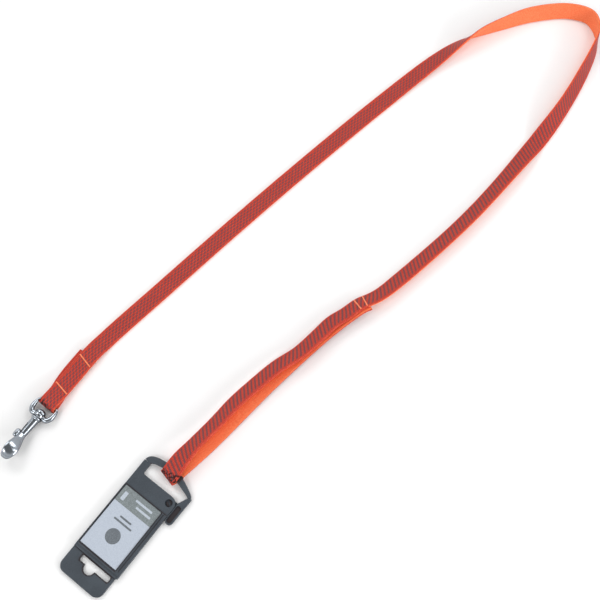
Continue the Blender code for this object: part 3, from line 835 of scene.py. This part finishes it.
def make_knob():
    """An oval thumb pad, slightly hollow on top, on a short stem."""
    levels = [(-1.0, 0.75, 0.75), (-3.3, 0.95, 0.95), (-3.35, 2.0, 1.5), (-3.45, 3.0, 2.2),
              (-3.7, 3.5, 2.6), (-4.4, 3.6, 2.7), (-5.2, 3.5, 2.65), (-5.8, 3.2, 2.4),
              (-6.25, 2.5, 1.8), (-6.4, 1.4, 1.0), (-6.3, 0.6, 0.4)]
    bm = bmesh.new()
    sides = 40
    rings = []
    for height, long_radius, short_radius in levels:
        ring = []
        for i in range(sides):
            angle = 2.0 * math.pi * i / sides
            c, s = super_round(angle, 0.65)
            ring.append(bm.verts.new((KNOB_CENTRE + long_radius * c, height, short_radius * s)))
        rings.append(ring)
    bridge(bm, rings)
    knob = add_object("knob_pad", bm, CHROME, knob_frame(), sharp=60.0)
    return place_piece(knob, "bolt", "snap_metal", "thumb_knob")


# ================================================================ card
def card_frame():
    """X along the card, Y to its left, so a (u, v) point has y = -v."""
    return frame_at((*CARD_ORIGIN, 0.0), heading(CARD_HEADING), heading(CARD_HEADING + 90.0))


def card_prism(outline, low, high):
    return prism([(u, -v) for u, v in outline], low, high)


def rounded_rectangle(low, high, radii, steps=8):
    """Outline points from the low corner round; a radius of 0 keeps its corner sharp."""
    (u0, v0), (u1, v1) = low, high
    corners = [((u0, v0), 1, 1, 180.0), ((u1, v0), -1, 1, 270.0), ((u1, v1), -1, -1, 0.0),
               ((u0, v1), 1, -1, 90.0)]
    points = []
    for ((u, v), du, dv, start), radius in zip(corners, radii):
        if radius <= 0.0:
            points.append((u, v))
        else:
            points += arc((u + du * radius, v + dv * radius), radius, start, start + 90.0, steps)
    return points


def card_piece(name, outline, low, high, material=PLASTIC):
    return add_object(name, card_prism(outline, low, high), material, card_frame())


def make_card():
    """The plate with its label tray, hang slot, window and pocket for the latch's tongue."""
    hanger = rounded_rectangle((-24.5, -1.4), (-3.7, 39.2), (6, 0, 0, 6))
    card = card_piece("card_moulding", hanger, 0.0, 2.2)
    tray = rounded_rectangle((-4.7, -1.4), (53.7, 40.6), (0, 0, 0, 0.8))
    combine(card, card_piece("tool", tray, 0.0, 3.4), "UNION")
    upper = [(53.2, -1.4), (76.4, -1.4), (76.4, 4.5), (69.0, 4.5)]
    upper += arc((69.0, 6.2), 1.7, 270.0, 180.0, 6)
    upper += arc((60.9, 34.2), 6.4, 0.0, 90.0, 10)
    upper += [(53.2, 40.6)]
    combine(card, card_piece("tool", upper, 0.0, 2.8), "UNION")
    recess = rounded_rectangle((-0.4, -0.4), (53.3, 35.8), (0.3, 0.3, 0.3, 0.3), 3)
    combine(card, card_piece("tool", recess, 2.2, 5.0), "DIFFERENCE")
    combine(card, card_piece("tool", hang_slot(), -1.0, 5.0), "DIFFERENCE")
    combine(card, card_piece("tool", arc((62.0, 35.2), 3.0, 0.0, 350.0, 35), -1.0, 5.0), "DIFFERENCE")
    pocket = [(50.6, 29.5), (69.3, 29.5), (69.3, 44.0), (50.6, 44.0)]
    combine(card, card_piece("tool", pocket, -1.0, 1.5), "DIFFERENCE")
    for low, high in (((-3.2, -0.6), (-2.4, 39.6)), ((0.6, 37.4), (52.6, 37.9))):
        groove = rounded_rectangle(low, high, (0.2,) * 4, 2)
        combine(card, card_piece("tool", groove, 3.0, 5.0), "DIFFERENCE")
    bevel(card, 0.28)
    return place_piece(card, "card", "card_plastic", "card_body")


def hang_slot(margin=0.0):
    """The long slot with a round lobe, as on any hanging card, widened all round by the margin."""
    right, left, top, bottom = -6.0 + margin, -10.6 - margin, 36.4 + margin, 8.4 - margin
    outline = [(right, bottom), (right, top - 0.8), (-7.0, top), (-9.6, top), (left, top - 0.8)]
    outline += [(left, 23.8 + margin)]
    outline += arc((-10.9, 19.0), 4.8 + margin, 96.0, 264.0, 16)
    outline += [(left, 14.2 - margin), (left, bottom + 0.8), (-9.6, bottom)]
    return outline


def make_painted_shade_strips():
    """Painted shade: a dark rim round the hang slot and dark strips at the joints between the card's
    levels.
    """
    shade_strips = card_piece("card_painted_shade_strips", hang_slot(0.8), 1.8, 2.34, SHADE_PLASTIC)
    combine(shade_strips, card_piece("tool", hang_slot(), 0.0, 5.0), "DIFFERENCE")
    # low corner, high corner and top of each strip of painted shade at a joint
    joints = [
        ((-5.3, -0.9), (-4.65, 39.0), 2.3),
        ((-1.3, -0.3), (-0.5, 36.2), 3.45),
        ((0.0, 35.9), (53.2, 36.4), 3.45),
        ((0.0, 37.9), (53.2, 38.3), 3.45),
        ((0.0, -0.9), (53.2, -0.5), 3.45),
        ((53.4, -0.9), (54.0, 40.2), 3.45),
    ]
    for low, high, top in joints:
        strip = rounded_rectangle(low, high, (0.15,) * 4, 2)
        combine(shade_strips, card_piece("tool", strip, 1.9, top), "UNION")
    place_piece(shade_strips, "card", "card_plastic")


def make_marks():
    """Small moulded dots and ejector marks on the plates, each slightly hollow."""
    # u, v, the plate's top, radius
    spots = [
        (-17.0, 4.1, 2.2, 1.5),
        (-20.8, 9.1, 2.2, 0.8),
        (60.7, 2.3, 2.8, 1.6),
        (62.8, 22.5, 2.8, 0.7),
    ]
    bm = bmesh.new()
    for u, v, top, radius in spots:
        rings = []
        for width, rise in ((radius, -0.2), (radius, 0.1), (radius - 0.25, 0.22), (0.2, 0.1)):
            circle = arc((u, v), width, 0.0, 345.0, 23)
            rings.append([bm.verts.new((x, -y, top + rise)) for x, y in circle])
        bridge(bm, rings)
    obj = add_object("card_marks", bm, PLASTIC, card_frame())
    return place_piece(obj, "card", "card_plastic")


def make_label():
    """A printed sheet with a band across one end; plain bars and a disc stand for its print."""
    sheet = rounded_rectangle((0.1, 0.1), (53.0, 35.4), (0.5,) * 4, 3)
    paper = card_piece("label_paper", sheet, 2.45, 2.85, PAPER)
    place_piece(paper, "card", "label", "label_insert")
    end = rounded_rectangle((39.3, 0.1), (53.0, 35.4), (0.1, 0.5, 0.5, 0.1), 3)
    band = card_piece("label_band", end, 2.8, 2.88, BAND)
    place_piece(band, "card", "label")
    bars = [((42.0, 3.0), (49.0, 6.2)), ((47.5, 14.0), (49.2, 30.0)), ((43.4, 17.5), (45.1, 31.5))]
    for i, (low, high) in enumerate(bars):
        outline = rounded_rectangle(low, high, (0.5,) * 4, 3)
        bar = card_piece(f"label_pale_bar_{i}", outline, 2.86, 2.91, PALE_INK)
        place_piece(bar, "card", "label")
    disc = card_piece("label_disc", arc((17.5, 17.5), 6.0, 0.0, 352.5, 47), 2.83, 2.88, INK)
    place_piece(disc, "card", "label")
    for i, u in enumerate((28.0, 31.5)):
        outline = rounded_rectangle((u, 9.0 + 3.0 * i), (u + 1.5, 26.0 - 3.0 * i), (0.6,) * 4, 3)
        bar = card_piece(f"label_ink_bar_{i}", outline, 2.83, 2.88, INK)
        place_piece(bar, "card", "label")


def make_closure_arm():
    """A flat bar from the card's corner, through the hand loop, to the latch's hinge."""
    # u, v, height of the middle, width, thickness
    keys = [
        (76.45, 1.5, 1.45, 5.8, 2.6),
        (77.3, 1.7, 1.6, 5.9, 2.5),
        (78.8, 2.8, 2.2, 5.9, 2.4),
        (80.7, 6.7, 3.5, 5.6, 2.2),
        (82.0, 13.0, 4.3, 5.4, 2.2),
        (82.4, 20.0, 4.4, 5.2, 2.2),
        (81.0, 28.2, 4.1, 5.4, 2.4),
        (78.5, 36.2, 3.0, 4.8, 2.4),
        (76.2, 42.2, 2.0, 3.6, 2.6),
        (74.9, 44.8, 1.7, 3.0, 2.6),
        (74.3, 45.8, 1.7, 2.0, 2.4),
    ]
    curve = catmull_rom(keys, 0.6)
    bm = bmesh.new()
    rings = []
    for i, (u, v, z, width, thickness) in enumerate(curve):
        before = curve[max(i - 1, 0)]
        after = curve[min(i + 1, len(curve) - 1)]
        level = Vector((after[0] - before[0], before[1] - after[1], 0.0)).normalized()
        side = UP.cross(level)
        ring = []
        for k in range(20):
            c, s = super_round(2.0 * math.pi * k / 20, 0.45)
            offset = side * (c * width / 2.0) + UP * (s * thickness / 2.0)
            ring.append(bm.verts.new(Vector((u, -v, z)) + offset))
        rings.append(ring)
    bridge(bm, rings)
    bar = add_object("closure_bar", bm, PLASTIC, card_frame(), sharp=50.0)
    place_piece(bar, "arm", "card_plastic", "closure_arm")
    # Painted shadow: the catch is coloured near-black for the strap's shadow over it.
    block = rounded_rectangle((78.6, 28.4), (83.7, 32.2), (0.6,) * 4, 3)
    catch = card_piece("closure_catch", block, 2.6, 5.3, SHADE_PLASTIC)
    bevel(catch, 0.3)
    place_piece(catch, "arm", "card_plastic")


def make_latch():
    """The flap beside the card, its tongue in the pocket and two studs in the round window."""
    outline = [(74.6, 47.4), (73.4, 44.4), (66.4, 41.0)]
    outline += arc((51.8, 44.0), 3.0, -90.0, -270.0, 16)
    flap = card_piece("latch_moulding", outline, 0.3, 3.0)
    tongue = rounded_rectangle((57.0, 31.0), (66.0, 42.4), (1.5, 0.0, 0.0, 1.5), 4)
    combine(flap, card_piece("tool", tongue, 0.3, 0.9), "UNION")
    recess = rounded_rectangle((50.2, 41.6), (65.0, 45.9), (1.8,) * 4, 5)
    combine(flap, card_piece("tool", recess, 1.4, 4.0), "DIFFERENCE")
    bevel(flap, 0.2)
    place_piece(flap, "latch", "card_plastic", "latch_flap")
    # Painted shade: a dark sheet on the floor of the flap's recess.
    bottom = rounded_rectangle((50.3, 41.7), (64.9, 45.8), (1.7,) * 4, 5)
    floor = card_piece("latch_painted_shade", bottom, 1.3, 1.6, SHADE_PLASTIC)
    place_piece(floor, "latch", "card_plastic")
    # Painted shade: the studs in the round window are coloured dark for the shade inside it.
    for i, side in enumerate((-1.0, 1.0)):
        start = 90.0 - 90.0 * side + 32.0
        half = arc((62.0 + 0.25 * side, 35.2 - 0.2 * side), 2.3, start - 80.0, start + 80.0, 16)
        stud = card_piece(f"latch_stud_{i}", half, 0.7, 1.35, SHADE_PLASTIC)
        bevel(stud, 0.15)
        place_piece(stud, "latch", "card_plastic")


# ================================================================ stage
def make_camera():
    """Looks down from the near side at the middle of the leash."""
    data = bpy.data.cameras.new("camera")
    data.lens = CAMERA_LENS
    data.sensor_width = SENSOR
    data.clip_start = 0.01
    camera = bpy.data.objects.new("camera", data)
    bpy.context.scene.collection.objects.link(camera)
    elevation = math.radians(CAMERA_ELEVATION)
    back = Vector((0.0, -math.cos(elevation), math.sin(elevation))) * CAMERA_DISTANCE
    camera.location = (Vector(LOOK_AT) + back) * MM
    camera.rotation_euler = (math.radians(90.0 - CAMERA_ELEVATION), 0.0, 0.0)
    bpy.context.scene.camera = camera


def make_floor():
    bm = bmesh.new()
    bmesh.ops.create_grid(bm, x_segments=2, y_segments=2, size=3000.0)
    floor = add_object("floor", bm, floor_material(), Matrix.Translation((0.0, 0.0, -0.0002)))


def add_softbox(name, azimuth, elevation, size, power):
    """A large rectangular light that looks at the middle of the floor."""
    data = bpy.data.lights.new(name, "AREA")
    data.shape = "RECTANGLE"
    data.size, data.size_y = size
    data.energy = power
    light = bpy.data.objects.new(name, data)
    bpy.context.scene.collection.objects.link(light)
    rise = math.radians(elevation)
    light.location = (heading(azimuth) * math.cos(rise) + UP * math.sin(rise)) * SOFTBOX_DISTANCE
    light.rotation_euler = (-light.location).to_track_quat("-Z", "Y").to_euler()


def make_world():
    """A pale studio, bright round the sides and dim straight above, which the metal mirrors."""
    world = bpy.data.worlds.new("studio")
    bpy.context.scene.world = world
    world.use_nodes = True
    tree = world.node_tree
    split = tree.nodes.new("ShaderNodeSeparateXYZ")
    tree.links.new(tree.nodes.new("ShaderNodeTexCoord").outputs["Generated"], split.inputs[0])
    ceiling = tree.nodes.new("ShaderNodeMapRange")
    ceiling.interpolation_type = "SMOOTHSTEP"
    for key, number in (("From Min", 0.6), ("From Max", 0.86), ("To Min", 0.7), ("To Max", 0.2)):
        ceiling.inputs[key].default_value = number
    tree.links.new(split.outputs[2], ceiling.inputs["Value"])
    tree.links.new(ceiling.outputs["Result"], tree.nodes["Background"].inputs["Strength"])
    tree.nodes["Background"].inputs["Color"].default_value = (1.0, 1.0, 1.0, 1.0)


# ================================================================ build
bpy.context.scene.view_settings.view_transform = "Standard"
make_camera()
make_world()
for softbox in SOFTBOXES:
    add_softbox(*softbox)
make_floor()

STATIONS = strap_stations(STRAP_STEP)
webbing = make_webbing(STATIONS)
rows = [make_stitch_row(name, station_at(STATIONS, at), slant)
        for name, (at, slant) in STITCH_ROWS.items()]

make_eye()
make_rivet()
make_snap_body()
make_bolt()
make_knob()
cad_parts["bolt_spring"].data.materials[0] = STEEL

make_card()
make_painted_shade_strips()
make_marks()
make_label()
make_closure_arm()
make_latch()
